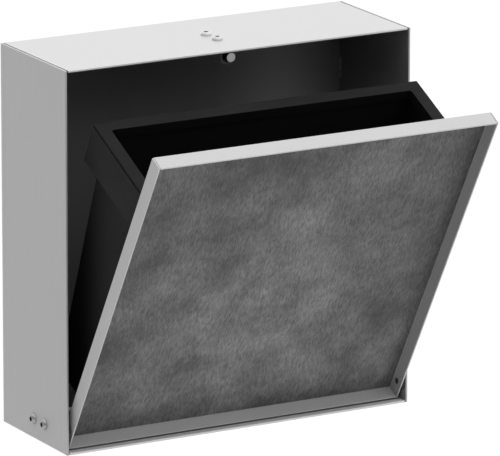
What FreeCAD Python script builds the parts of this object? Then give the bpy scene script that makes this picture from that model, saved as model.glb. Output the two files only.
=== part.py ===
import FreeCAD, Part
import math
import os

V = FreeCAD.Vector

# Wall-mounted waste bin: an open-fronted sheet housing, a folded door that tilts out about two pins near
# its bottom edge, and a bucket that hangs on the back of the door.
#
# Row frame: millimetres, origin in the middle of the wall face, +X to the right for a person who faces
# the bin, +Y into the wall, +Z up. The stored position has the door tilted out against its stops.
#
# Door frame: the closed door's own axes. X as above, Y = 0 on the door's back face with +Y into the
# housing, Z = 0 at the door's bottom edge.
#
# Bucket frame: X as above, Y = 0 at the front of the bag frame with +Y towards the wall, Z = 0 on the bag
# frame's top face, +Z up along the bucket's axis.

# ---------------------------------------------------------------- driving dimensions
WIDTH = 370.0
HEIGHT = 370.0
DEPTH = 130.0
SHEET = 2.0
EDGE_ROUND = 0.35          # on the cut edges of the sheets
SEAM_GAP = 0.8             # between two panels, which are welded from inside
BACK_GAP = 0.05            # round the back panel, which is fitted tight to keep the rain out
CLEAR = 0.3                # between faces that meet only when one body rests on another
OVERCUT = 1.0              # how far a cutting shape runs past the material
NEAR = 0.01                # an edge this close to a level lies on it

OPEN_ANGLE = 30.0          # door's tilt in the stored position
DOOR_WIDTH = 358.7
DOOR_HEIGHT = 359.75
LIP_DEPTH = 15.5
LIP_SETBACK = 0.25         # closed door's lips behind the housing's front edge
DOOR_BOTTOM_GAP = 2.7      # closed door's bottom above the inside of the bottom panel
DOOR_SHEET = 1.5
PIVOT_UP_DOOR = 15.5       # pivot above the door's bottom edge
TRAY_INSIDE_R = 0.3        # the door is folded along milled grooves, which leaves sharp folds
TRAY_OUTSIDE_R = 0.8
TRAY_RELIEF = 1.2          # small relief where two folds meet at a corner
TRAY_SLIT = 0.25           # between the ends of two lips
FOLD_RADIUS = 1.5          # inside radius of a fold in the brackets

BUCKET_TILT = 4.2          # bucket's axis to the door; also the draft of its front and back walls
RIM_WIDTH = 346.2
RIM_DEPTH = 106.8
RIM_BAND = 12.9            # flat band of the bag frame
BUCKET_HEIGHT = 273.5
BUCKET_WALL = 2.5
BUCKET_TOP_UP_DOOR = 308.6  # bag frame's front top edge, door frame
BUCKET_TOP_BEHIND = 3.9

# ---------------------------------------------------------------- worked-out places
HALF_W = WIDTH / 2
HALF_H = HEIGHT / 2
INNER_X = HALF_W - SHEET
INNER_Z = HALF_H - SHEET
FRONT_Y = -DEPTH

DOOR_BACK_Y = FRONT_Y + LIP_SETBACK + LIP_DEPTH
DOOR_BOTTOM_Z = -INNER_Z + DOOR_BOTTOM_GAP
PIVOT_Y = DOOR_BACK_Y - LIP_DEPTH / 2
PIVOT_Z = DOOR_BOTTOM_Z + PIVOT_UP_DOOR
DOOR_HALF = DOOR_WIDTH / 2

# Hinge bracket, pin and bush
BRACKET_SHEET = 3.0
BRACKET_INNER_X = INNER_X - BRACKET_SHEET
BRACKET_REAR_Y = -50.0
BRACKET_REAR_HALF = 12.5
BRACKET_NOSE_HALF = 7.0
BRACKET_SLOPE_Y = (-92.0, -112.0)
BRACKET_CORNER = 3.0
BRACKET_SHOULDER = 4.0
BRACKET_BLEND = 8.0
BRACKET_NOSE_ROUND = 6.9
PIN_R = 2.0
PIN_HEAD_R = 3.5
PIN_HEAD_DEPTH = 1.5
PIN_END_X = DOOR_HALF - DOOR_SHEET - 0.75
BUSH_R = 2.75
BUSH_FLANGE_R = 5.0
BUSH_FLANGE = 0.4
PIN_CLEARANCE = 0.05

# Stop tab: its pad meets the back of the tilted door below the pivot
TAB_FROM = 1.0             # along the door, from its bottom edge
TAB_WIDTH = 10.0
TAB_REACH = 14.0           # inwards from the bracket
TAB_SLIT = 0.5
TAB_CORNER = 0.5
PAD_THICK = 2.0
PAD_MARGIN = 1.0           # from the end of the tab

# M6 button heads (ISO 7380 proportions) and nuts
M6_R = 3.0
SHANK_R = 2.95
HEAD_R = 5.25
HEAD_HIGH = 3.3
HEAD_CROWN_R = 2.6
HEAD_SIDE = 0.35
HEAD_BULGE_UP = 0.66       # a point on the dome, as shares of the head's height and radius
HEAD_BULGE_OUT = 0.83
SOCKET_FLATS = 4.0
SOCKET_DEEP = 2.08
M6_HOLE_R = 3.3
NUT_FLAT_SIDE = 0.82       # share of a nut's height below its turned corners
M6_NUT_FLATS = 10.0
M6_NUT_HIGH = 5.0
SIDE_SCREW_Y = (-62.5, -84.5)
SIDE_SCREW_DROP = 1.2      # below the pivot
SIDE_SCREW_Z = PIVOT_Z - SIDE_SCREW_DROP
SIDE_SCREW_LONG = 10.0
TOP_SCREW_Y = (-64.0, -86.0)
TOP_SCREW_LONG = 6.0

# Holes for the wall's own screws
WALL_HOLE_R = 4.0
WALL_HOLE_X = 125.0
WALL_HOLE_Z = 155.0

# Welds inside the seams
WELD_LEG = 2.4
WELD_LONG = 20.0
WELD_CROWN = 0.58          # how full the bead is, as a share of both legs
WELD_X = (-120.0, 0.0, 120.0)
WELD_Y = (-108.0, -66.0, -20.0)
WELD_Z = (-120.0, 0.0, 120.0)

# Catch, along Y under the top panel
CATCH_Z = HALF_H - 11.7
CATCH_TIP_Y = -112.65
HOLDER_FRONT_Y = -106.5
HOLDER_BLOCK_Y = (-94.0, -50.0)
HOLDER_HALF = 7.5
HOLDER_FLANGE_R = 8.0
HOLDER_FLANGE_LONG = 6.5
HOLDER_TUBE_R = 6.6
HOLDER_MOUTH_R = 6.3
HOLDER_CORNER = 3.0
BARREL_R = 5.0
BARREL_Y = (-102.0, -56.0)
BARREL_NECK = 4.0
BARREL_CHAMBER_R = 4.4
BARREL_CAP = 1.5
STEM_R = 3.0
STEM_SLIP = 0.05
PLUNGER_HEAD_R = 5.0
PLUNGER_HEAD_LONG = 5.4
PLUNGER_BEVEL = 0.15
COLLAR_R = 4.32
COLLAR_LONG = 4.0
GUIDE_R = 2.2
GUIDE_LONG = 18.0
MAGNET_R = 4.6
MAGNET_THICK = 2.5
MAGNET_EDGE = 0.3
SPRING_R = 3.4
SPRING_WIRE_R = 0.35
SPRING_PITCH = 3.0

# Strike plate, rail and buffers on the door's back
STRIKE = (30.0, 1.2, 14.0)
STRIKE_DROP = 4.4          # the plate's middle below the catch's axis
RAIL_HALF = 150.0
RAIL_FROM = 235.0
RAIL_SHELF = 265.2         # top of the shelf that the bucket's skirt stands on
RAIL_REACH = 8.0
RAIL_HOOK = 11.8
RAIL_FOLD = 1.0
RAIL_TIP = 0.6
STUD_X = (-130.0, -45.0, 45.0, 130.0)
STUD_UP = 248.0
STUD_R = 2.0
STUD_LONG = 8.0
STUD_HOLE_R = 2.25
M4_NUT_FLATS = 7.0
M4_NUT_HIGH = 3.2
BUFFER_X = 110.0
BUFFER_UP = 62.0
BUFFER_R = 10.0
BUFFER_LONG = 11.8
BUFFER_BEVEL = 1.0

# Infill sheet in the door
INFILL_THICK = 0.6
INFILL_INSET = 2.6
INFILL_CORNER = 1.0

# Bag frame and bucket, bucket frame
FRAME_THICK = 1.8
FRAME_GAP = 1.3            # for the bag's edge
FRAME_FLANGE = 10.0        # down from the top face
FRAME_FLANGE_THICK = 1.5
RIM_CORNER = 1.2
SKIRT_CORNER = 0.5         # inside the skirt
MOUTH_CORNER = 3.0
FLANGE_SLIP = 0.4
FRAME_ROUND = 0.4
BODY_INSET = RIM_BAND - FRAME_FLANGE_THICK - FLANGE_SLIP - BUCKET_WALL
BODY_CORNER = 3.2
HOLLOW_CORNER = BODY_CORNER - BUCKET_WALL
SKIRT_DEEP = 43.0
SKIRT_THICK = 2.2
SIDE_DRAFT = 0.45
BUCKET_FOOT_ROUND = 3.0
RIB_THICK = 1.6
RIB_DEEP = 24.0
RIB_BITE = 3.4             # ribs reach this far into the body's back wall, which slopes away from them
RIB_Y = (32.0, 72.0)
RIB_X = (-120.0, -40.0, 40.0, 120.0)
RIM_TOP = -FRAME_THICK - FRAME_GAP


# ---------------------------------------------------------------- shape helpers
def rounded_wire(points, radii):
    """A closed outline through the points, each corner rounded by its radius (0 leaves it sharp)."""
    ends = []
    arcs = []
    for i, corner in enumerate(points):
        radius = radii[i]
        if radius == 0:
            ends.append((corner, corner))
            arcs.append(None)
            continue
        to_last = (points[i - 1] - corner).normalize()
        to_next = (points[(i + 1) % len(points)] - corner).normalize()
        half = to_last.getAngle(to_next) / 2
        middle = (to_last + to_next).normalize()
        start = corner + to_last * (radius / math.tan(half))
        end = corner + to_next * (radius / math.tan(half))
        crown = corner + middle * (radius / math.sin(half) - radius)
        ends.append((start, end))
        arcs.append(Part.Arc(start, crown, end).toShape())
    edges = []
    for i, arc in enumerate(arcs):
        if arc:
            edges.append(arc)
        run_from = ends[i][1]
        run_to = ends[(i + 1) % len(points)][0]
        if run_from.distanceToPoint(run_to) > 1e-6:
            edges.append(Part.LineSegment(run_from, run_to).toShape())
    return Part.Wire(edges)


def prism(points, radii, along):
    """The rounded outline, filled and pushed along a vector."""
    return Part.Face(rounded_wire(points, radii)).extrude(along)


def slab(x, y, z):
    """A box between two limits on each axis."""
    return Part.makeBox(x[1] - x[0], y[1] - y[0], z[1] - z[0], V(x[0], y[0], z[0]))


def soft_slab(x, y, z, radius=EDGE_ROUND):
    """A box with every edge rounded."""
    box = slab(x, y, z)
    return box.makeFillet(radius, box.Edges)


def rod(radius, start, end):
    """A round bar between two points."""
    return Part.makeCylinder(radius, start.distanceToPoint(end), start, end - start)


def turned(outline, start, along):
    """A turned piece. outline holds (distance from start, radius) pairs, ending back on the axis."""
    out = V(0, 0, 1) if abs(along.z) < 0.5 else V(1, 0, 0)
    points = [start + along * a + out * r for a, r in outline]
    return Part.Face(Part.makePolygon(points + [points[0]])).revolve(start, along, 360)


def hexagon(flats, base, along):
    """A six-sided bar with the given width across flats."""
    side = V(0, 1, 0) if abs(along.y) < 0.5 else V(1, 0, 0)
    up = along.cross(side).normalize()
    radius = flats / 2 / math.cos(math.radians(30))
    turns = [math.radians(60 * i) for i in range(6)]
    points = [base + (side * math.cos(t) + up * math.sin(t)) * radius for t in turns]
    return Part.Face(Part.makePolygon(points + [points[0]])).extrude(along)


def button_screw(seat, out, length):
    """A domed socket screw. seat is on the sheet under the head, and out points away from the sheet."""
    side = V(0, 0, 1) if abs(out.z) < 0.5 else V(1, 0, 0)
    foot = seat + side * HEAD_R
    shoulder = foot + out * HEAD_SIDE
    bulge = seat + out * (HEAD_HIGH * HEAD_BULGE_UP) + side * (HEAD_R * HEAD_BULGE_OUT)
    crown = seat + out * HEAD_HIGH + side * HEAD_CROWN_R
    top = seat + out * HEAD_HIGH
    half = Part.Wire([
        Part.LineSegment(seat, foot).toShape(),
        Part.LineSegment(foot, shoulder).toShape(),
        Part.Arc(shoulder, bulge, crown).toShape(),
        Part.LineSegment(crown, top).toShape(),
        Part.LineSegment(top, seat).toShape(),
    ])
    head = Part.Face(half).revolve(seat, out, 360)
    socket = hexagon(SOCKET_FLATS, seat + out * (HEAD_HIGH - SOCKET_DEEP), out * (SOCKET_DEEP + OVERCUT))
    shank = rod(SHANK_R, seat, seat - out * length)
    return head.cut(socket).fuse(shank).removeSplitter()


def nut(flats, high, hole_r, base, out):
    """A hexagon nut that stands on base along out, with its outer corners turned off."""
    body = hexagon(flats, base, out * high)
    corner = flats / 2 / math.cos(math.radians(30))
    outline = [(0, 0), (0, corner), (high * NUT_FLAT_SIDE, corner), (high, flats / 2), (high, 0)]
    dome = turned(outline, base, out)
    return body.common(dome).cut(rod(hole_r, base - out, base + out * (high + OVERCUT)))


def group(shapes):
    """Separate solids kept together in one sub-part."""
    return Part.makeCompound([solid for shape in shapes for solid in shape.Solids])


def mirrored(shape):
    """The same piece on the other side of the bin."""
    return shape.mirror(V(0, 0, 0), V(1, 0, 0))


def door_closed(shape):
    """From the door frame to the row frame, door shut."""
    moved = shape.copy()
    moved.translate(V(0, DOOR_BACK_Y, DOOR_BOTTOM_Z))
    return moved


def tilted_out(shape):
    """From the shut position to the stored, open position."""
    moved = shape.copy()
    moved.rotate(V(0, PIVOT_Y, PIVOT_Z), V(1, 0, 0), OPEN_ANGLE)
    return moved


def from_door(shape):
    """From the door frame to the stored position."""
    return tilted_out(door_closed(shape))


def from_bucket(shape):
    """From the bucket frame to the stored position."""
    moved = shape.copy()
    moved.rotate(V(0, 0, 0), V(1, 0, 0), -BUCKET_TILT)
    moved.translate(V(0, BUCKET_TOP_BEHIND, BUCKET_TOP_UP_DOOR))
    return from_door(moved)


# ---------------------------------------------------------------- housing
def side_panel():
    """Right side, full height and depth, with two holes for the bracket's screws."""
    panel = soft_slab((INNER_X, HALF_W), (FRONT_Y, 0), (-HALF_H, HALF_H))
    for y in SIDE_SCREW_Y:
        panel = panel.cut(rod(M6_HOLE_R, V(INNER_X - OVERCUT, y, SIDE_SCREW_Z),
                              V(HALF_W + OVERCUT, y, SIDE_SCREW_Z)))
    return panel


def top_panel():
    """Between the sides, with two holes for the catch holder's screws."""
    half = INNER_X - SEAM_GAP
    panel = soft_slab((-half, half), (FRONT_Y, 0), (INNER_Z, HALF_H))
    for y in TOP_SCREW_Y:
        panel = panel.cut(rod(M6_HOLE_R, V(0, y, INNER_Z - OVERCUT), V(0, y, HALF_H + OVERCUT)))
    return panel


def bottom_panel():
    half = INNER_X - SEAM_GAP
    return soft_slab((-half, half), (FRONT_Y, 0), (-HALF_H, -INNER_Z))


def back_panel():
    """Between the other four, flush with their rear edges, with four holes for the wall's screws."""
    half_x = INNER_X - BACK_GAP
    half_z = INNER_Z - BACK_GAP
    panel = soft_slab((-half_x, half_x), (-SHEET, 0), (-half_z, half_z))
    for x in (-WALL_HOLE_X, WALL_HOLE_X):
        for z in (-WALL_HOLE_Z, WALL_HOLE_Z):
            panel = panel.cut(rod(WALL_HOLE_R, V(x, -SHEET - OVERCUT, z), V(x, OVERCUT, z)))
    return panel


def weld_bead(corner, run, leg_a, leg_b):
    """A short fillet weld: corner is where the two sheets meet, the legs lie on the two sheets."""
    start = corner - run / 2
    tip_a = start + leg_a
    tip_b = start + leg_b
    crown = start + (leg_a + leg_b) * WELD_CROWN
    face = Part.Face(Part.Wire([
        Part.LineSegment(start, tip_a).toShape(),
        Part.Arc(tip_a, crown, tip_b).toShape(),
        Part.LineSegment(tip_b, start).toShape(),
    ]))
    return face.extrude(run)


def seam_welds():
    """Short beads inside every seam of the housing, three to a seam."""
    beads = []
    inward_x = V(-WELD_LEG, 0, 0)
    inward_y = V(0, -WELD_LEG, 0)
    for side in (-1, 1):
        x_leg = inward_x * side
        for up in (-1, 1):
            for y in WELD_Y:
                corner = V(side * INNER_X, y, up * INNER_Z)
                beads.append(weld_bead(corner, V(0, WELD_LONG, 0), x_leg, V(0, 0, -up * WELD_LEG)))
        for z in WELD_Z:
            corner = V(side * INNER_X, -SHEET, z)
            beads.append(weld_bead(corner, V(0, 0, WELD_LONG), x_leg, inward_y))
    for up in (-1, 1):
        for x in WELD_X:
            corner = V(x, -SHEET, up * INNER_Z)
            beads.append(weld_bead(corner, V(WELD_LONG, 0, 0), V(0, 0, -up * WELD_LEG), inward_y))
    return group(beads)


# ---------------------------------------------------------------- hinges and stops
def open_door_point(up, behind):
    """Y and Z of a point at a height up the tilted door and a distance behind its back face."""
    lean = math.radians(OPEN_ANGLE)
    climb = up - PIVOT_UP_DOOR
    back = behind + LIP_DEPTH / 2
    y = PIVOT_Y - climb * math.sin(lean) + back * math.cos(lean)
    z = PIVOT_Z + climb * math.cos(lean) + back * math.sin(lean)
    return y, z


def on_open_door(x, up, behind):
    y, z = open_door_point(up, behind)
    return V(x, y, z)


def open_door_block(x, up, behind):
    """A box that is square to the tilted door."""
    corners = [on_open_door(x[0], u, b) for u, b in
               ((up[0], behind[0]), (up[1], behind[0]), (up[1], behind[1]), (up[0], behind[1]))]
    return Part.Face(Part.makePolygon(corners + [corners[0]])).extrude(V(x[1] - x[0], 0, 0))


def hinge_bracket():
    """Right bracket: a flat plate from the side screws to the pin, with the stop tab bent inwards."""
    outline = [
        V(BRACKET_INNER_X, BRACKET_REAR_Y, PIVOT_Z - BRACKET_REAR_HALF),
        V(BRACKET_INNER_X, BRACKET_REAR_Y, PIVOT_Z + BRACKET_REAR_HALF),
        V(BRACKET_INNER_X, BRACKET_SLOPE_Y[0], PIVOT_Z + BRACKET_REAR_HALF),
        V(BRACKET_INNER_X, BRACKET_SLOPE_Y[1], PIVOT_Z + BRACKET_NOSE_HALF),
        V(BRACKET_INNER_X, PIVOT_Y - BRACKET_NOSE_HALF, PIVOT_Z + BRACKET_NOSE_HALF),
        V(BRACKET_INNER_X, PIVOT_Y - BRACKET_NOSE_HALF, PIVOT_Z - BRACKET_NOSE_HALF),
        V(BRACKET_INNER_X, BRACKET_SLOPE_Y[1], PIVOT_Z - BRACKET_REAR_HALF),
    ]
    rounds = [BRACKET_CORNER, BRACKET_CORNER, BRACKET_SHOULDER, BRACKET_BLEND,
              BRACKET_NOSE_ROUND, BRACKET_NOSE_ROUND, BRACKET_BLEND]
    plate = prism(outline, rounds, V(BRACKET_SHEET, 0, 0))

    tab_front = CLEAR + PAD_THICK
    tab_back = tab_front + BRACKET_SHEET
    tab_to = TAB_FROM + TAB_WIDTH
    root = tab_front - 2 * FOLD_RADIUS
    window = open_door_block((BRACKET_INNER_X - OVERCUT, INNER_X + OVERCUT),
                             (TAB_FROM - TAB_SLIT, tab_to + TAB_SLIT),
                             (root, tab_back + TAB_REACH - BRACKET_SHEET))
    fold = [
        on_open_door(INNER_X, TAB_FROM, root),
        on_open_door(INNER_X, TAB_FROM, tab_back),
        on_open_door(BRACKET_INNER_X - TAB_REACH, TAB_FROM, tab_back),
        on_open_door(BRACKET_INNER_X - TAB_REACH, TAB_FROM, tab_front),
        on_open_door(BRACKET_INNER_X, TAB_FROM, tab_front),
        on_open_door(BRACKET_INNER_X, TAB_FROM, root),
    ]
    across = on_open_door(0, tab_to, 0) - on_open_door(0, TAB_FROM, 0)
    tab = prism(fold, [0, FOLD_RADIUS + BRACKET_SHEET, TAB_CORNER, TAB_CORNER, FOLD_RADIUS, 0], across)
    bracket = plate.cut(window).fuse(tab).removeSplitter()

    for y in SIDE_SCREW_Y:
        hole = rod(M6_HOLE_R, V(BRACKET_INNER_X - OVERCUT, y, SIDE_SCREW_Z),
                   V(INNER_X + OVERCUT, y, SIDE_SCREW_Z))
        bracket = bracket.cut(hole)
    return bracket.cut(hinge_pin())


def hinge_pin():
    """Right pin: its sunk head is flush with the bracket's outer face, and it ends inside the door's lip."""
    long = INNER_X - PIN_END_X
    outline = [(0, 0), (0, PIN_HEAD_R), (PIN_HEAD_DEPTH, PIN_R), (long, PIN_R), (long, 0)]
    return turned(outline, V(INNER_X, PIVOT_Y, PIVOT_Z), V(-1, 0, 0))


def bracket_screws():
    return group([button_screw(V(HALF_W, y, SIDE_SCREW_Z), V(1, 0, 0), SIDE_SCREW_LONG)
                  for y in SIDE_SCREW_Y])


def bracket_nuts():
    return group([nut(M6_NUT_FLATS, M6_NUT_HIGH, M6_R, V(BRACKET_INNER_X, y, SIDE_SCREW_Z), V(-1, 0, 0))
                  for y in SIDE_SCREW_Y])


def stop_pad():
    """Right rubber pad, bonded to the face of the stop tab."""
    across = (BRACKET_INNER_X - TAB_REACH + PAD_MARGIN, BRACKET_INNER_X - FOLD_RADIUS)
    return open_door_block(across, (TAB_FROM, TAB_FROM + TAB_WIDTH), (CLEAR, CLEAR + PAD_THICK))


# ---------------------------------------------------------------- catch
def at_catch(y):
    return V(0, y, CATCH_Z)


def latch_holder():
    """A block screwed up against the top panel, with a flanged tube in front that the catch sits in."""
    top = INNER_Z
    low = CATCH_Z - HOLDER_TUBE_R
    outline = [V(-HOLDER_HALF, HOLDER_BLOCK_Y[0], top), V(HOLDER_HALF, HOLDER_BLOCK_Y[0], top),
               V(HOLDER_HALF, HOLDER_BLOCK_Y[0], low), V(-HOLDER_HALF, HOLDER_BLOCK_Y[0], low)]
    rearwards = V(0, HOLDER_BLOCK_Y[1] - HOLDER_BLOCK_Y[0], 0)
    block = prism(outline, [0, 0, HOLDER_CORNER, HOLDER_CORNER], rearwards)
    flange_back = HOLDER_FRONT_Y + HOLDER_FLANGE_LONG
    flange = rod(HOLDER_FLANGE_R, at_catch(HOLDER_FRONT_Y), at_catch(flange_back))
    tube = rod(HOLDER_TUBE_R, at_catch(flange_back), at_catch(HOLDER_BLOCK_Y[0]))
    holder = block.fuse([flange, tube])
    holder = holder.cut(rod(BARREL_R, at_catch(FRONT_Y), at_catch(BARREL_Y[1])))
    holder = holder.cut(rod(HOLDER_MOUTH_R, at_catch(FRONT_Y), at_catch(BARREL_Y[0])))
    for y in TOP_SCREW_Y:
        tapped = rod(SHANK_R, V(0, y, HALF_H - TOP_SCREW_LONG), V(0, y, INNER_Z + OVERCUT))
        holder = holder.cut(tapped)
    return holder


def latch_screws():
    return group([button_screw(V(0, y, HALF_H), V(0, 0, 1), TOP_SCREW_LONG) for y in TOP_SCREW_Y])


def latch_barrel():
    """The catch's barrel: a narrow neck in front that keeps the plunger in, then the spring's chamber."""
    barrel = rod(BARREL_R, at_catch(BARREL_Y[0]), at_catch(BARREL_Y[1]))
    neck = rod(STEM_R + STEM_SLIP, at_catch(FRONT_Y), at_catch(BARREL_Y[1]))
    chamber = rod(BARREL_CHAMBER_R, at_catch(BARREL_Y[0] + BARREL_NECK), at_catch(BARREL_Y[1] + OVERCUT))
    return barrel.cut(neck).cut(chamber)


def latch_end_cap():
    """A disc pressed into the barrel's rear end, for the spring to push against."""
    return rod(BARREL_CHAMBER_R, at_catch(BARREL_Y[1] - BARREL_CAP), at_catch(BARREL_Y[1]))


def latch_plunger():
    """Head with a pocket for the magnet, stem, collar behind the neck, and a guide inside the spring."""
    head_back = CATCH_TIP_Y + PLUNGER_HEAD_LONG
    collar_front = BARREL_Y[0] + BARREL_NECK + CLEAR
    collar_back = collar_front + COLLAR_LONG
    outline = [
        (MAGNET_THICK, 0),
        (MAGNET_THICK, MAGNET_R),
        (0, MAGNET_R),
        (PLUNGER_BEVEL, PLUNGER_HEAD_R),
        (head_back - CATCH_TIP_Y, PLUNGER_HEAD_R),
        (head_back - CATCH_TIP_Y, STEM_R),
        (collar_front - CATCH_TIP_Y, STEM_R),
        (collar_front - CATCH_TIP_Y, COLLAR_R),
        (collar_back - CATCH_TIP_Y, COLLAR_R),
        (collar_back - CATCH_TIP_Y, GUIDE_R),
        (collar_back + GUIDE_LONG - CATCH_TIP_Y, GUIDE_R),
        (collar_back + GUIDE_LONG - CATCH_TIP_Y, 0),
    ]
    return turned(outline, at_catch(CATCH_TIP_Y), V(0, 1, 0))


def latch_magnet():
    """A disc magnet, flush with the front of the plunger's head."""
    disc = rod(MAGNET_R, at_catch(CATCH_TIP_Y), at_catch(CATCH_TIP_Y + MAGNET_THICK))
    front = [edge for edge in disc.Edges if edge.BoundBox.YMax < CATCH_TIP_Y + NEAR]
    return disc.makeFillet(MAGNET_EDGE, front)


def latch_spring():
    """A coil spring between the plunger's collar and the end cap."""
    start = BARREL_Y[0] + BARREL_NECK + CLEAR + COLLAR_LONG + CLEAR + SPRING_WIRE_R
    end = BARREL_Y[1] - BARREL_CAP - SPRING_WIRE_R
    path = Part.makeHelix(SPRING_PITCH, end - start, SPRING_R)
    section = Part.Wire(Part.makeCircle(SPRING_WIRE_R, V(SPRING_R, 0, 0), V(0, 1, 0)))
    coil = Part.Wire(path).makePipeShell([section], True, True)
    coil.rotate(V(0, 0, 0), V(1, 0, 0), -90)
    coil.translate(at_catch(start))
    return coil


# ---------------------------------------------------------------- door
def door_tray():
    """One folded sheet: a flat back and four lips that face outwards, open slits at the four corners."""
    outer = slab((-DOOR_HALF, DOOR_HALF), (-LIP_DEPTH, 0), (0, DOOR_HEIGHT))
    back_edges = [edge for edge in outer.Edges if edge.BoundBox.YMin > -NEAR]
    outer = outer.makeFillet(TRAY_OUTSIDE_R, back_edges)
    inner_half = DOOR_HALF - DOOR_SHEET
    inner_top = DOOR_HEIGHT - DOOR_SHEET
    pocket = slab((-inner_half, inner_half), (-LIP_DEPTH - OVERCUT, -DOOR_SHEET), (DOOR_SHEET, inner_top))
    floor_edges = [edge for edge in pocket.Edges if edge.BoundBox.YMin > -DOOR_SHEET - NEAR]
    tray = outer.cut(pocket.makeFillet(TRAY_INSIDE_R, floor_edges))
    rim_edges = [edge for edge in tray.Edges if edge.BoundBox.YMax < -LIP_DEPTH + NEAR]
    tray = tray.makeFillet(EDGE_ROUND, rim_edges)
    for side in (-1, 1):
        inner = side * inner_half
        slit_x = sorted((inner, inner - side * TRAY_SLIT))
        low_slit = (-OVERCUT, DOOR_SHEET + EDGE_ROUND)
        high_slit = (inner_top - EDGE_ROUND, DOOR_HEIGHT + OVERCUT)
        for slit_z in (low_slit, high_slit):
            tray = tray.cut(slab(slit_x, (-LIP_DEPTH - OVERCUT, -DOOR_SHEET - TRAY_INSIDE_R), slit_z))
        relief_x = sorted((side * (DOOR_HALF - TRAY_RELIEF), side * (DOOR_HALF + OVERCUT)))
        low_relief = (-OVERCUT, TRAY_RELIEF)
        high_relief = (DOOR_HEIGHT - TRAY_RELIEF, DOOR_HEIGHT + OVERCUT)
        for relief_z in (low_relief, high_relief):
            tray = tray.cut(slab(relief_x, (-TRAY_RELIEF, OVERCUT), relief_z))
        hole_y = -LIP_DEPTH / 2
        tray = tray.cut(rod(BUSH_R, V(inner - side, hole_y, PIVOT_UP_DOOR),
                            V(inner + side * (DOOR_SHEET + OVERCUT), hole_y, PIVOT_UP_DOOR)))
    return from_door(tray)


def infill_panel():
    """A thin sheet bonded to the floor of the tray, between the folds."""
    half = DOOR_HALF - INFILL_INSET
    high = DOOR_HEIGHT - INFILL_INSET
    points = [V(-half, -DOOR_SHEET, INFILL_INSET), V(half, -DOOR_SHEET, INFILL_INSET),
              V(half, -DOOR_SHEET, high), V(-half, -DOOR_SHEET, high)]
    return from_door(prism(points, [INFILL_CORNER] * 4, V(0, -INFILL_THICK, 0)))


def hinge_bush():
    """Right bush: pressed into the lip, with a thin flange that keeps the door off the bracket."""
    axis_y = -LIP_DEPTH / 2
    flange_x = DOOR_HALF + BUSH_FLANGE
    body_x = DOOR_HALF - DOOR_SHEET - CLEAR
    body = rod(BUSH_R, V(body_x, axis_y, PIVOT_UP_DOOR), V(DOOR_HALF, axis_y, PIVOT_UP_DOOR))
    flange = rod(BUSH_FLANGE_R, V(DOOR_HALF, axis_y, PIVOT_UP_DOOR), V(flange_x, axis_y, PIVOT_UP_DOOR))
    bore = rod(PIN_R + PIN_CLEARANCE, V(body_x - OVERCUT, axis_y, PIVOT_UP_DOOR),
               V(flange_x + OVERCUT, axis_y, PIVOT_UP_DOOR))
    return from_door(body.fuse(flange).cut(bore))


def strike_plate():
    """A steel plate bonded to the door's back where the magnet meets it."""
    centre = CATCH_Z - DOOR_BOTTOM_Z - STRIKE_DROP
    width, thick, high = STRIKE
    return from_door(soft_slab((-width / 2, width / 2), (0, thick), (centre - high / 2, centre + high / 2)))


def bin_rail():
    """A folded hook rail: flange on the door, shelf under the bucket's skirt, hook up behind the skirt."""
    hook_top = RAIL_SHELF + RAIL_HOOK
    outline = [(0, RAIL_FROM), (SHEET, RAIL_FROM), (SHEET, RAIL_SHELF - SHEET),
               (RAIL_REACH, RAIL_SHELF - SHEET), (RAIL_REACH, hook_top), (RAIL_REACH - SHEET, hook_top),
               (RAIL_REACH - SHEET, RAIL_SHELF), (0, RAIL_SHELF)]
    points = [V(-RAIL_HALF, y, z) for y, z in outline]
    inside = RAIL_FOLD
    outside = RAIL_FOLD + SHEET
    rounds = [0, 0, inside, outside, RAIL_TIP, RAIL_TIP, inside, outside]
    rail = prism(points, rounds, V(2 * RAIL_HALF, 0, 0))
    for x in STUD_X:
        rail = rail.cut(rod(STUD_HOLE_R, V(x, -OVERCUT, STUD_UP), V(x, SHEET + OVERCUT, STUD_UP)))
    return from_door(rail)


def rail_studs():
    """Threaded studs welded to the door's back, so that nothing shows on its front."""
    return from_door(group([rod(STUD_R, V(x, 0, STUD_UP), V(x, STUD_LONG, STUD_UP)) for x in STUD_X]))


def rail_nuts():
    nuts = [nut(M4_NUT_FLATS, M4_NUT_HIGH, STUD_R, V(x, SHEET, STUD_UP), V(0, 1, 0)) for x in STUD_X]
    return from_door(group(nuts))


def bin_buffers():
    """Two rubber buffers on the door's back for the bucket's front wall."""
    outline = [(0, 0), (0, BUFFER_R), (BUFFER_LONG - BUFFER_BEVEL, BUFFER_R - BUFFER_BEVEL),
               (BUFFER_LONG, BUFFER_R - 2 * BUFFER_BEVEL), (BUFFER_LONG, 0)]
    pair = [turned(outline, V(x, 0, BUFFER_UP), V(0, 1, 0)) for x in (-BUFFER_X, BUFFER_X)]
    return from_door(group(pair))


# ---------------------------------------------------------------- bucket and bag frame
def rim_ring(inset, radius, z):
    """A rounded rectangle inside the rim's outline, level with z in the bucket frame."""
    half = RIM_WIDTH / 2 - inset
    front = inset
    back = RIM_DEPTH - inset
    points = [V(-half, front, z), V(half, front, z), V(half, back, z), V(-half, back, z)]
    return rounded_wire(points, [radius] * 4)


def ring_prism(inset, radius, top, bottom):
    return Part.Face(rim_ring(inset, radius, top)).extrude(V(0, 0, bottom - top))


def body_section(inset, radius, z):
    """A level section of the bucket's body, inset from its outer surface at that height."""
    drop = RIM_TOP - z
    narrowing = drop * math.tan(math.radians(BUCKET_TILT))
    side = RIM_WIDTH / 2 - BODY_INSET - drop * math.tan(math.radians(SIDE_DRAFT)) - inset
    front = BODY_INSET + narrowing + inset
    back = RIM_DEPTH - BODY_INSET - narrowing - inset
    points = [V(-side, front, z), V(side, front, z), V(side, back, z), V(-side, back, z)]
    return rounded_wire(points, [radius] * 4)


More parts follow.
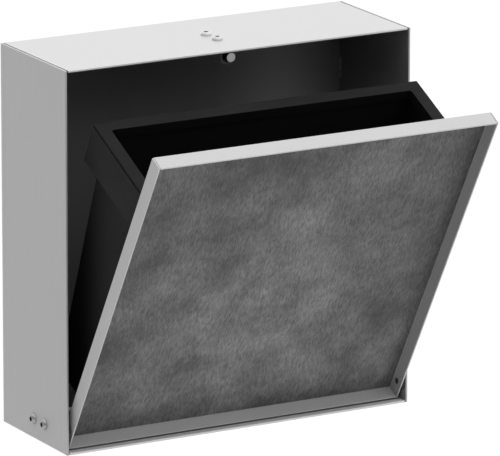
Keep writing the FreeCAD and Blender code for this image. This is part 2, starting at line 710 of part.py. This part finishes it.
def tapered(inset, radius, top, bottom):
    """The body's solid shape between two heights, inset from its outer surface."""
    return Part.makeLoft([body_section(inset, radius, top), body_section(inset, radius, bottom)], True, True)


def foot_rounded(shape, bottom, radius):
    foot = [edge for edge in shape.Edges if edge.BoundBox.ZMax < bottom + NEAR]
    return shape.makeFillet(radius, foot)


def skirt_ribs():
    """Thin webs that join the skirt to the body; the front has none, so that the rail fits there."""
    outer_x = RIM_WIDTH / 2 - SKIRT_THICK / 2
    inner_x = RIM_WIDTH / 2 - BODY_INSET - BUCKET_WALL / 2
    outer_y = RIM_DEPTH - SKIRT_THICK / 2
    inner_y = RIM_DEPTH - BODY_INSET - RIB_BITE
    z = (RIM_TOP - RIB_DEEP, RIM_TOP - BUCKET_WALL / 2)
    ribs = []
    for y in RIB_Y:
        for side in (-1, 1):
            ribs.append(slab(sorted((side * inner_x, side * outer_x)), (y, y + RIB_THICK), z))
    for x in RIB_X:
        ribs.append(slab((x - RIB_THICK / 2, x + RIB_THICK / 2), (inner_y, outer_y), z))
    return ribs


def bucket():
    """A moulded bucket: tapered body, flat rim, and a deep skirt outside it."""
    foot = -BUCKET_HEIGHT
    floor = foot + BUCKET_WALL
    body = foot_rounded(tapered(0, BODY_CORNER, RIM_TOP, foot), foot, BUCKET_FOOT_ROUND)
    web = ring_prism(0, RIM_CORNER, RIM_TOP, RIM_TOP - BUCKET_WALL)
    skirt = ring_prism(0, RIM_CORNER, RIM_TOP, -SKIRT_DEEP)
    skirt = skirt.cut(ring_prism(SKIRT_THICK, SKIRT_CORNER, RIM_TOP + OVERCUT, -SKIRT_DEEP - OVERCUT))
    shape = body.fuse([web, skirt] + skirt_ribs())
    hollow = tapered(BUCKET_WALL, HOLLOW_CORNER, RIM_TOP + OVERCUT, floor)
    hollow = foot_rounded(hollow, floor, BUCKET_FOOT_ROUND - BUCKET_WALL)
    return from_bucket(shape.cut(hollow).removeSplitter())


def bag_frame():
    """A flat ring over the rim with a flange down inside the mouth, which holds the bag's edge."""
    band = ring_prism(0, RIM_CORNER, 0, -FRAME_THICK)
    outside = BUCKET_WALL + FLANGE_SLIP
    flange = tapered(outside, MOUTH_CORNER + FRAME_FLANGE_THICK, 0, -FRAME_FLANGE)
    mouth = tapered(outside + FRAME_FLANGE_THICK, MOUTH_CORNER, OVERCUT, -FRAME_FLANGE - OVERCUT)
    shape = band.fuse(flange).cut(mouth).removeSplitter()
    top_edges = [edge for edge in shape.Edges if edge.BoundBox.ZMin > -NEAR]
    return from_bucket(shape.makeFillet(FRAME_ROUND, top_edges))


# ---------------------------------------------------------------- all the sub-parts
PARTS = {
    "top_panel": top_panel(),
    "bottom_panel": bottom_panel(),
    "back_panel": back_panel(),
    "seam_welds": seam_welds(),
    "latch_holder": latch_holder(),
    "latch_screws": latch_screws(),
    "latch_barrel": latch_barrel(),
    "latch_end_cap": latch_end_cap(),
    "latch_spring": latch_spring(),
    "latch_plunger": latch_plunger(),
    "latch_magnet": latch_magnet(),
    "door_tray": door_tray(),
    "infill_panel": infill_panel(),
    "strike_plate": strike_plate(),
    "bin_rail": bin_rail(),
    "rail_studs": rail_studs(),
    "rail_nuts": rail_nuts(),
    "bin_buffers": bin_buffers(),
    "bucket": bucket(),
    "bag_frame": bag_frame(),
}
HANDED_PARTS = {
    "side_panel": side_panel(),
    "hinge_bracket": hinge_bracket(),
    "hinge_pin": hinge_pin(),
    "hinge_bush": hinge_bush(),
    "bracket_screws": bracket_screws(),
    "bracket_nuts": bracket_nuts(),
    "stop_pad": stop_pad(),
}
for name, shape in HANDED_PARTS.items():
    PARTS[name + "_right"] = shape
    PARTS[name + "_left"] = mirrored(shape)

os.makedirs("parts", exist_ok=True)
for name, shape in PARTS.items():
    if not shape.isValid():
        raise ValueError(name + " is not a valid shape")
    if not shape.Solids:
        raise ValueError(name + " holds no solid")
    shape.exportStep("parts/" + name + ".step")
    print(name, len(shape.Solids), "solids", round(shape.Volume / 1000, 2), "cm3")
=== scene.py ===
import math

import bmesh
import bpy
from mathutils import Matrix, Vector


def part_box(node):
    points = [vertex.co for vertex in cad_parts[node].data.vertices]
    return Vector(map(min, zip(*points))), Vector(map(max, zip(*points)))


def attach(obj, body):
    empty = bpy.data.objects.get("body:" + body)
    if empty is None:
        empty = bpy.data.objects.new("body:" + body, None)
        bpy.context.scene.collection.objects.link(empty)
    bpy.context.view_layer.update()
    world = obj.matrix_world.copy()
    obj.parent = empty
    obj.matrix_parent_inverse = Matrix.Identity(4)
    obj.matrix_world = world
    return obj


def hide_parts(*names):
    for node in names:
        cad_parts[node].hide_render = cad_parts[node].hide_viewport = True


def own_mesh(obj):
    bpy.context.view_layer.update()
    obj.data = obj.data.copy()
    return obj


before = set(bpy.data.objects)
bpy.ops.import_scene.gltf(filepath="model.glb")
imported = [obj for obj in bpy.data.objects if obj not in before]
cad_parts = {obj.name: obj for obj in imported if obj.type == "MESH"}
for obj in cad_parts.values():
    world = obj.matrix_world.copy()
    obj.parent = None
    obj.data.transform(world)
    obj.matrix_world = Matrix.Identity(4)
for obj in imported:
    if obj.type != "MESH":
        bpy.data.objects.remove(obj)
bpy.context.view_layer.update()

# The looks of a wall-mounted waste bin: satin sheet steel outside, a darker cloudy sheet in the door, and
# a black moulded bucket. Every size is in metres, in the frame of the CAD model.

# ---------------------------------------------------------------- camera, stage and light
CAMERA_AZIMUTH = -29.366
CAMERA_ELEVATION = 14.895
CAMERA_ROLL = 0.115
CAMERA_PLACE = (-2.90989, -5.32216, 1.58746)
CAMERA_LENS = 470.7
CAMERA_SHIFT = (-0.0015, 0.0157)

SKY_TOP = 2.3
SKY_BACK = 1.45
SKY_FRONT = 0.15
SKY_LEFT = 0.34            # share of the light that comes from the left
# Where the light turns from one strength to another, as the direction's share along an axis
SKY_FRONT_TO_BACK = (-0.3, 0.8)    # along Y
SKY_LOW_TO_HIGH = (0.12, 0.85)     # along Z, from the light round about to the light from above
SKY_LEFT_TO_RIGHT = (-0.9, 0.1)    # along X

FLOOR_Z = -0.9
FLOOR_SIZE = 40.0
FLOOR_GREY = 0.64
FLOOR_ROUGHNESS = 0.9

STEEL_GREY = 0.41
LIP_SHADE_SHARE = 0.79           # painted shade on the inner faces of the tray's side lips, against their outside
PAINTED_LIGHT_SHARE = 1.55          # painted light: a highlight on the top and bottom panels' front edges, and light on the bottom panel's upper face
TRAY_EDGE_HIGHLIGHT_SHARE = 1.42     # painted highlight on the tray's front edges
SEAM_SHADE_SHARE = 0.1           # painted shade in the open seams, on the top panel's ends
UNDER_DOOR_SHADE_SHARE = 0.35    # painted shade on the bottom panel's upper face under the door
INSIDE_SHADE_SHARE = 0.55          # painted shade on the housing's inside, against its outside
CUT_EDGE = 0.1297          # the housing's front edges are farther from the origin along Y
INNER_FACE = 0.1834        # the housing's inner faces are nearer than this along X or Z
SEAM = 0.1818              # the top panel's ends are farther out than this
TRAY_FRONT = 0.1957        # the tray's front edges are beyond this, along the open door's own depth
LIP_INNER = (0.1775, 0.1787)       # the inner faces of the tray's side lips lie between these along X
UNDERSIDE = 0.1846         # only the bottom panel's outer face is farther out than this
UNDER_DOOR = 0.1222        # the painted shade under the door starts here along Y and goes rearwards

SIDE_SCREWS = ((0, -0.0625, -0.166), (0, -0.0845, -0.166))     # points on the screws' axes
TOP_SCREWS = ((0, -0.064, 0), (0, -0.086, 0))
SOCKET_RADIUS = 0.0024
SOCKET_SHADE_SHARE = 0.2         # painted shade inside a screw's socket

LIT_BAND = 0.115          # the middle of an upright band of painted light on the back panel, along X
LIT_BAND_NEAR = 0.01           # the band keeps its tone this far from its middle
LIT_BAND_FAR = 0.07            # and has faded out this far from it
LIT_BAND_SHARE = 1.2           # tone of the band of painted light
LIT_BAND_REST = 0.8            # tone of the back panel elsewhere
MASK_SOFT = 0.0003         # half the width over which one zone's tone turns into the next
SOCKET_SOFT = 0.0001       # the same for a screw's socket

# The infill's grey is partly the sheet's own dark finish and partly painted shade.
INFILL_GREY = 0.125
INFILL_LIT_MIDDLE = (0.0, -0.177, -0.07)    # the painted light on the infill sheet is strongest round here
INFILL_LIGHT_AND_SHADE = (1.15, 0.74)      # painted light near the infill's middle and painted shade far from it
INFILL_FADE = (0.05, 0.28)         # the distances between which it changes
INFILL_NARROW = 1.5                # a distance along X counts this many times over
OPEN_TILT = 30.0           # the door's lean, so that its texture follows its own edges

GRAIN_ACROSS = 1100.0      # scale of the ground lines' noise across them
GRAIN_ALONG = 22.0         # and along them

# The catch's spring
SPRING_PITCH = 0.003
WIRE_RADIUS = 0.00035
COIL_POINTS = 24           # points along each turn
WIRE_POINTS = 8            # points round the wire
SPRING_SLOT = "spring_steel"


def place_camera():
    azimuth = math.radians(CAMERA_AZIMUTH)
    elevation = math.radians(CAMERA_ELEVATION)
    back = Vector((math.sin(azimuth) * math.cos(elevation), -math.cos(azimuth) * math.cos(elevation),
                   math.sin(elevation)))
    level = Vector((0, 0, 1)).cross(back).normalized()
    over = back.cross(level)
    roll = math.radians(CAMERA_ROLL)
    right = level * math.cos(roll) + over * math.sin(roll)
    up = over * math.cos(roll) - level * math.sin(roll)
    data = bpy.data.cameras.new("camera")
    data.lens = CAMERA_LENS
    data.shift_x, data.shift_y = CAMERA_SHIFT
    camera = bpy.data.objects.new("camera", data)
    camera.matrix_world = Matrix.Translation(CAMERA_PLACE) @ Matrix((right, up, back)).transposed().to_4x4()
    bpy.context.scene.collection.objects.link(camera)
    bpy.context.scene.camera = camera


def studio_world():
    """Soft light by direction only: strong from above, good from behind, weak from the front and left."""
    world = bpy.data.worlds.new("studio")
    world.use_nodes = True
    bpy.context.scene.world = world
    tree = world.node_tree
    direction = tree.nodes.new("ShaderNodeTexCoord")
    split = tree.nodes.new("ShaderNodeSeparateXYZ")
    tree.links.new(direction.outputs["Generated"], split.inputs[0])

    def part(axis, turn, low, high):
        """Smooth change from low to high as the direction's share on an axis goes through a turn."""
        ramp = tree.nodes.new("ShaderNodeMapRange")
        ramp.interpolation_type = "SMOOTHSTEP"
        ramp.inputs["From Min"].default_value = turn[0]
        ramp.inputs["From Max"].default_value = turn[1]
        ramp.inputs["To Min"].default_value = low
        ramp.inputs["To Max"].default_value = high
        tree.links.new(split.outputs[axis], ramp.inputs["Value"])
        return ramp.outputs["Result"]

    def joined(kind, first, second):
        step = tree.nodes.new("ShaderNodeMath")
        step.operation = kind
        tree.links.new(first, step.inputs[0])
        tree.links.new(second, step.inputs[1])
        return step.outputs[0]

    round_about = part("Y", SKY_FRONT_TO_BACK, SKY_FRONT, SKY_BACK)
    low = joined("MULTIPLY", round_about, part("Z", SKY_LOW_TO_HIGH, 1.0, 0.0))
    whole = joined("ADD", low, part("Z", SKY_LOW_TO_HIGH, 0.0, SKY_TOP))
    sky = joined("MULTIPLY", whole, part("X", SKY_LEFT_TO_RIGHT, SKY_LEFT, 1.0))
    background = tree.nodes["Background"]
    background.inputs["Color"].default_value = (1, 1, 1, 1)
    tree.links.new(sky, background.inputs["Strength"])


# ---------------------------------------------------------------- node helpers
class Paint:
    """One material's node tree, with short ways to add the nodes it needs."""

    def __init__(self, name):
        self.material = bpy.data.materials.new(name)
        self.material.use_nodes = True
        self.tree = self.material.node_tree
        self.shader = self.tree.nodes["Principled BSDF"]
        self.place = self.node("ShaderNodeTexCoord").outputs["Object"]

    def node(self, kind):
        return self.tree.nodes.new(kind)

    def link(self, source, target):
        self.tree.links.new(source, target)

    def set(self, **values):
        for name, value in values.items():
            self.shader.inputs[name.replace("_", " ")].default_value = value

    def stretched(self, scale, tilt=0.0):
        """Object coordinates, turned about X by tilt degrees, then scaled per axis."""
        turn = self.node("ShaderNodeMapping")
        turn.vector_type = "POINT"
        turn.inputs["Rotation"].default_value = (math.radians(tilt), 0, 0)
        stretch = self.node("ShaderNodeMapping")
        stretch.inputs["Scale"].default_value = scale
        self.link(self.place, turn.inputs["Vector"])
        self.link(turn.outputs[0], stretch.inputs["Vector"])
        return stretch.outputs[0]

    def noise(self, scale, detail=3.0, roughness=0.5, where=None, wavy=0.0):
        texture = self.node("ShaderNodeTexNoise")
        texture.inputs["Distortion"].default_value = wavy
        texture.inputs["Scale"].default_value = scale
        texture.inputs["Detail"].default_value = detail
        texture.inputs["Roughness"].default_value = roughness
        self.link(where or self.place, texture.inputs["Vector"])
        return texture.outputs["Fac"]

    def spread(self, source, low, high, source_low=0.3, source_high=0.7):
        """Maps a noise's usual range onto another."""
        ranged = self.node("ShaderNodeMapRange")
        ranged.inputs["From Min"].default_value = source_low
        ranged.inputs["From Max"].default_value = source_high
        ranged.inputs["To Min"].default_value = low
        ranged.inputs["To Max"].default_value = high
        self.link(source, ranged.inputs["Value"])
        return ranged.outputs["Result"]

    def across(self, axis, limit, inside, outside, where=None):
        """One value nearer than limit to the origin along an axis, and another farther out."""
        split = self.node("ShaderNodeSeparateXYZ")
        self.link(where or self.place, split.inputs[0])
        size = self.node("ShaderNodeMath")
        size.operation = "ABSOLUTE"
        self.link(split.outputs[axis], size.inputs[0])
        return self.spread(size.outputs[0], inside, outside, limit - MASK_SOFT, limit + MASK_SOFT)

    def around(self, points, axis, radius, inside, outside):
        """One value within radius of lines that run through points along an axis, and another beyond."""
        flat = [1.0, 1.0, 1.0]
        flat["XYZ".index(axis)] = 0.0
        squashed = self.stretched(flat)
        nearest = None
        for point in points:
            away = self.node("ShaderNodeVectorMath")
            away.operation = "DISTANCE"
            self.link(squashed, away.inputs[0])
            away.inputs[1].default_value = point
            if nearest is None:
                nearest = away.outputs["Value"]
                continue
            least = self.node("ShaderNodeMath")
            least.operation = "MINIMUM"
            self.link(nearest, least.inputs[0])
            self.link(away.outputs["Value"], least.inputs[1])
            nearest = least.outputs[0]
        return self.spread(nearest, inside, outside, radius - SOCKET_SOFT, radius + SOCKET_SOFT)

    def beside(self, centre, near, far, inside, outside):
        """A value at a place along X, which fades into another between the distances near and far."""
        away = self.node("ShaderNodeVectorMath")
        away.operation = "DISTANCE"
        self.link(self.stretched((1.0, 0.0, 0.0)), away.inputs[0])
        away.inputs[1].default_value = (centre, 0, 0)
        return self.spread(away.outputs["Value"], inside, outside, near, far)

    def most(self, a, b):
        """The larger of two values, or the second if there is no first."""
        if a is None:
            return b
        larger = self.node("ShaderNodeMath")
        larger.operation = "MAXIMUM"
        self.link(a, larger.inputs[0])
        self.link(b, larger.inputs[1])
        return larger.outputs[0]

    def times(self, a, b):
        product = self.node("ShaderNodeMath")
        product.operation = "MULTIPLY"
        self.link(a, product.inputs[0])
        self.link(b, product.inputs[1])
        return product.outputs[0]

    def colour(self, value):
        """Uses a grey value as the base colour."""
        joined = self.node("ShaderNodeCombineColor")
        for channel in joined.inputs:
            self.link(value, channel)
        self.link(joined.outputs[0], self.shader.inputs["Base Color"])

    def rough(self, value):
        self.link(value, self.shader.inputs["Roughness"])

    def bumps(self, *layers):
        """Adds bump layers, each a height, a distance in metres and a strength."""
        normal = None
        for height, distance, strength in layers:
            bump = self.node("ShaderNodeBump")
            bump.inputs["Distance"].default_value = distance
            bump.inputs["Strength"].default_value = strength
            self.link(height, bump.inputs["Height"])
            if normal:
                self.link(normal, bump.inputs["Normal"])
            normal = bump.outputs[0]
        self.link(normal, self.shader.inputs["Normal"])


# ---------------------------------------------------------------- materials
def satin_steel(name, grey, brushed_along, roughness=0.5, tilt=0.0, zones=(), pale=None):
    """Ground sheet steel: fine lines along one axis, faint clouds and a little unevenness in the gloss.

    Each zone paints light and shade onto the steel: it gives limits, which are an axis and a distance from
    the origin along it, and the tone's share nearer than all of them and elsewhere. With two limits the
    first share has to be the smaller one.
    The last argument gives the middle of an upright band of painted light.
    """
    paint = Paint(name)
    paint.set(Metallic=0.2)
    fine = [GRAIN_ACROSS, GRAIN_ACROSS, GRAIN_ACROSS]
    fine["XYZ".index(brushed_along)] = GRAIN_ALONG
    lines = paint.noise(scale=1.0, detail=2.0, roughness=0.6, where=paint.stretched(fine, tilt))
    clouds = paint.noise(scale=9.0, detail=4.0)
    tone = paint.times(paint.spread(lines, grey * 0.97, grey * 1.03), paint.spread(clouds, 0.975, 1.025))
    turned = paint.stretched((1.0, 1.0, 1.0), tilt)
    for limits, inside, outside in zones:
        share = None
        for axis, limit in limits:
            share = paint.most(share, paint.across(axis, limit, inside, outside, turned))
        tone = paint.times(tone, share)
    # An upright band of painted light.
    if pale is not None:
        tone = paint.times(tone, paint.beside(pale, LIT_BAND_NEAR, LIT_BAND_FAR, LIT_BAND_SHARE, LIT_BAND_REST))
    paint.colour(tone)
    paint.rough(paint.times(paint.spread(lines, roughness * 0.93, roughness * 1.07),
                            paint.spread(clouds, 0.94, 1.06)))
    paint.bumps((lines, 0.00002, 0.25))
    return paint.material


def cloudy_steel(name, grey, tilt, middle):
    """A rolled sheet, dark partly in its own finish and partly as painted shade: cloudy patches under short
    wavy strokes, with painted light towards its middle and painted shade towards its edges.
    """
    paint = Paint(name)
    paint.set(Metallic=0.5)
    drift = paint.noise(scale=7.0, detail=2.0, roughness=0.5)
    patches = paint.noise(scale=20.0, detail=5.0, roughness=0.62)
    streaks = paint.stretched((830.0, 830.0, 175.0), tilt)
    strokes = paint.noise(scale=1.0, detail=3.0, roughness=0.65, where=streaks, wavy=0.35)
    # Painted light towards the sheet's middle and painted shade towards its edges, next to the tray's lips.
    away = paint.node("ShaderNodeVectorMath")
    away.operation = "DISTANCE"
    paint.link(paint.stretched((INFILL_NARROW, 1.0, 1.0)), away.inputs[0])
    away.inputs[1].default_value = middle
    tone = paint.times(paint.spread(patches, grey * 0.56, grey * 1.46), paint.spread(drift, 0.88, 1.13))
    tone = paint.times(tone, paint.spread(away.outputs["Value"], *INFILL_LIGHT_AND_SHADE, *INFILL_FADE))
    paint.colour(paint.times(tone, paint.spread(strokes, 0.5, 1.54)))
    paint.rough(paint.spread(strokes, 0.45, 0.6))
    paint.bumps((strokes, 0.0001, 0.4))
    return paint.material


def turned_steel(name, grey, roughness=0.3, metallic=1.0, sockets=None):
    """Fasteners, pins and wire. sockets gives the screws' axes, whose sockets get painted shade."""
    paint = Paint(name)
    paint.set(Metallic=metallic)
    marks = paint.noise(scale=1400.0, detail=2.0)
    stains = paint.noise(scale=260.0, detail=3.0)
    tone = paint.times(paint.spread(marks, grey * 0.95, grey * 1.05), paint.spread(stains, 0.93, 1.07))
    if sockets:
        # Painted shade in the screws' sockets.
        tone = paint.times(tone, paint.around(sockets[0], sockets[1], SOCKET_RADIUS, SOCKET_SHADE_SHARE, 1.0))
    paint.colour(tone)
    paint.rough(paint.spread(stains, roughness * 0.85, roughness * 1.2))
    paint.bumps((marks, 0.00001, 0.3))
    return paint.material


def weld_metal(name, grey):
    paint = Paint(name)
    paint.set(Metallic=1.0)
    ripples = paint.noise(scale=700.0, detail=2.0)
    heat = paint.noise(scale=120.0, detail=3.0)
    paint.colour(paint.spread(heat, grey * 0.7, grey * 1.25))
    paint.rough(paint.spread(heat, 0.35, 0.6))
    paint.bumps((ripples, 0.0002, 0.6))
    return paint.material


def powder_coat(name, grey, roughness=0.6):
    """Matt black powder coat with its fine orange peel."""
    paint = Paint(name)
    peel = paint.noise(scale=900.0, detail=2.0)
    worn = paint.noise(scale=60.0, detail=4.0)
    paint.colour(paint.spread(worn, grey * 0.85, grey * 1.15))
    paint.rough(paint.spread(worn, roughness * 0.9, roughness * 1.1))
    paint.set(Specular_IOR_Level=0.4)
    paint.bumps((peel, 0.00006, 0.5))
    return paint.material


def moulded_plastic(name, grey, roughness=0.7, gloss=0.18):
    """Black injection-moulded plastic with a fine eroded grain and faint flow clouds."""
    paint = Paint(name)
    grain = paint.noise(scale=1500.0, detail=2.0, roughness=0.6)
    flow = paint.noise(scale=14.0, detail=3.0)
    flattened = paint.stretched((60.0, 60.0, 400.0))
    scuffs = paint.noise(scale=1.0, detail=3.0, roughness=0.6, where=flattened)
    paint.colour(paint.times(paint.spread(grain, grey * 0.9, grey * 1.1), paint.spread(flow, 0.9, 1.1)))
    paint.rough(paint.times(paint.spread(flow, roughness * 0.93, roughness * 1.07),
                            paint.spread(scuffs, 0.96, 1.04)))
    paint.set(Specular_IOR_Level=gloss)
    paint.bumps((grain, 0.00005, 0.5))
    return paint.material


def soft_rubber(name, grey):
    paint = Paint(name)
    speckle = paint.noise(scale=1100.0, detail=3.0, roughness=0.7)
    dust = paint.noise(scale=90.0, detail=4.0)
    paint.colour(paint.spread(dust, grey * 0.8, grey * 1.4))
    paint.rough(paint.spread(dust, 0.78, 0.92))
    paint.set(Specular_IOR_Level=0.3)
    paint.bumps((speckle, 0.00006, 0.5))
    return paint.material


def pale_floor():
    """A plain pale floor, seen from above only, so that the underside of the bin can be looked at too."""
    paint = Paint("pale_floor")
    paint.set(Base_Color=(FLOOR_GREY, FLOOR_GREY, FLOOR_GREY, 1), Roughness=FLOOR_ROUGHNESS)
    clear = paint.node("ShaderNodeBsdfTransparent")
    side = paint.node("ShaderNodeNewGeometry")
    mix = paint.node("ShaderNodeMixShader")
    paint.link(side.outputs["Backfacing"], mix.inputs[0])
    paint.link(paint.shader.outputs[0], mix.inputs[1])
    paint.link(clear.outputs[0], mix.inputs[2])
    paint.link(mix.outputs[0], paint.tree.nodes["Material Output"].inputs["Surface"])
    return paint.material


def wear(material, *nodes):
    """Gives a material to CAD nodes."""
    for name in nodes:
        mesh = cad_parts[name].data
        mesh.materials.clear()
        mesh.materials.append(material)


def lay_floor():
    mesh = bpy.data.meshes.new("floor")
    half = FLOOR_SIZE / 2
    signs = [(-1, -1), (1, -1), (1, 1), (-1, 1)]
    corners = [(x * half, y * half, FLOOR_Z) for x, y in signs]
    mesh.from_pydata(corners, [], [(0, 1, 2, 3)])
    mesh.materials.append(pale_floor())
    floor = bpy.data.objects.new("floor", mesh)
    bpy.context.scene.collection.objects.link(floor)


def coil_spring():
    """The catch's spring as one mesh of round wire, carried by the housing."""
    low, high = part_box("latch_spring")
    start = low[1] + WIRE_RADIUS
    long = high[1] - WIRE_RADIUS - start
    radius = (high[0] - low[0]) / 2 - WIRE_RADIUS
    axis = Vector(((low[0] + high[0]) / 2, start, (low[2] + high[2]) / 2))
    rearwards = Vector((0, 1, 0))
    steps = round(long / SPRING_PITCH * COIL_POINTS)
    points = []
    for step in range(steps + 1):
        turn = 2 * math.pi * step / COIL_POINTS
        outwards = Vector((math.cos(turn), 0, math.sin(turn)))
        centre = axis + rearwards * (long * step / steps) + outwards * radius
        for corner in range(WIRE_POINTS):
            angle = 2 * math.pi * corner / WIRE_POINTS
            points.append(centre + (outwards * math.cos(angle) + rearwards * math.sin(angle)) * WIRE_RADIUS)
    faces = [tuple(range(WIRE_POINTS)), tuple(range(steps * WIRE_POINTS, (steps + 1) * WIRE_POINTS))]
    for step in range(steps):
        first = step * WIRE_POINTS
        for corner in range(WIRE_POINTS):
            following = (corner + 1) % WIRE_POINTS
            faces.append((first + corner, first + following,
                          first + following + WIRE_POINTS, first + corner + WIRE_POINTS))
    mesh = bpy.data.meshes.new("catch_spring")
    mesh.from_pydata(points, [], faces)
    shell = bmesh.new()
    shell.from_mesh(mesh)
    bmesh.ops.recalc_face_normals(shell, faces=shell.faces)
    shell.to_mesh(mesh)
    shell.free()
    mesh.shade_smooth()
    mesh.materials.append(turned_steel(SPRING_SLOT, grey=0.4))
    spring = bpy.data.objects.new("catch_spring", mesh)
    bpy.context.scene.collection.objects.link(spring)
    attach(spring, "housing")
    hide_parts("latch_spring")
    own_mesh(spring)


# ---------------------------------------------------------------- the bin
# Painted shade on the housing's inner faces: the side and top panels inside, and the whole back panel.
side_inside_shade = ([("X", INNER_FACE)], INSIDE_SHADE_SHARE, 1.0)
wear(satin_steel("side_steel", STEEL_GREY, "Z", zones=[side_inside_shade]), "side_panel_left", "side_panel_right")
top_inside_shade = ([("Z", INNER_FACE)], INSIDE_SHADE_SHARE, 1.0)
# Painted shade in the open seams, on the top panel's ends.
seam_shade = ([("X", SEAM)], 1.0, SEAM_SHADE_SHARE)
# A painted highlight on the top panel's front edge.
front_edge_highlight = ([("Y", CUT_EDGE)], 1.0, PAINTED_LIGHT_SHARE)
wear(satin_steel("top_steel", STEEL_GREY, "X", zones=[top_inside_shade, seam_shade, front_edge_highlight]), "top_panel")
# Painted shade on the bottom panel's upper face, under the door.
shade_under_door = ([("Y", UNDER_DOOR), ("Z", INNER_FACE)], UNDER_DOOR_SHADE_SHARE, 1.0)
# Painted light on the bottom panel's upper face and front edge; its outer face keeps the plain tone.
underside = ([("Z", UNDERSIDE)], PAINTED_LIGHT_SHARE, 1.0)
wear(satin_steel("bottom_steel", STEEL_GREY, "X", zones=[shade_under_door, underside]), "bottom_panel")
# An upright band of painted light on the back panel.
wear(satin_steel("back_steel", STEEL_GREY * INSIDE_SHADE_SHARE, "Z", pale=LIT_BAND), "back_panel")
# A painted highlight on the tray's front edges.
tray_edge_highlights = ([("Y", TRAY_FRONT)], 1.0, TRAY_EDGE_HIGHLIGHT_SHARE)
# Painted shade on the inner faces of the tray's side lips; the outer faces get their plain tone back.
lip_inner_shade = ([("X", LIP_INNER[0])], 1.0, LIP_SHADE_SHARE)
lip_outer_faces = ([("X", LIP_INNER[1])], 1.0, 1 / LIP_SHADE_SHARE)
wear(satin_steel("tray_steel", STEEL_GREY, "Z", tilt=-OPEN_TILT,
                 zones=[tray_edge_highlights, lip_inner_shade, lip_outer_faces]), "door_tray")
wear(cloudy_steel("infill_steel", INFILL_GREY, -OPEN_TILT, INFILL_LIT_MIDDLE), "infill_panel")
wear(satin_steel("rail_steel", grey=0.5, brushed_along="X"), "bin_rail")
wear(turned_steel("plated_steel", grey=0.55, roughness=0.35), "strike_plate")
# The same kind of screw is darker on the sides and lighter on top: painted shade and painted light for how
# the light falls on each.
wear(turned_steel("side_screw_steel", grey=0.36, roughness=0.38, metallic=0.8, sockets=(SIDE_SCREWS, "X")),
     "bracket_screws_left", "bracket_screws_right")
wear(turned_steel("top_screw_steel", grey=0.54, roughness=0.5, metallic=0.2, sockets=(TOP_SCREWS, "Z")),
     "latch_screws")
wear(turned_steel("fastener_steel", grey=0.42, roughness=0.45, metallic=0.6),
     "bracket_nuts_left", "bracket_nuts_right", "rail_studs", "rail_nuts")
wear(turned_steel("pin_steel", grey=0.12, roughness=0.4), "hinge_pin_left", "hinge_pin_right")
coil_spring()
wear(turned_steel("magnet_plating", grey=0.63, roughness=0.4), "latch_magnet")
wear(weld_metal("weld_metal", grey=0.4), "seam_welds")
wear(powder_coat("black_coat", grey=0.02), "hinge_bracket_left", "hinge_bracket_right")
wear(powder_coat("catch_coat", grey=0.15), "latch_holder")
wear(moulded_plastic("catch_plastic", grey=0.015), "latch_barrel", "latch_end_cap", "latch_plunger",
     "hinge_bush_left", "hinge_bush_right")
wear(moulded_plastic("bucket_plastic", grey=0.003), "bucket")
wear(moulded_plastic("bag_frame_plastic", grey=0.003, gloss=0.13), "bag_frame")
wear(soft_rubber("pad_rubber", grey=0.02), "stop_pad_left", "stop_pad_right", "bin_buffers")

lay_floor()
studio_world()
place_camera()
bpy.context.scene.view_settings.view_transform = "Standard"
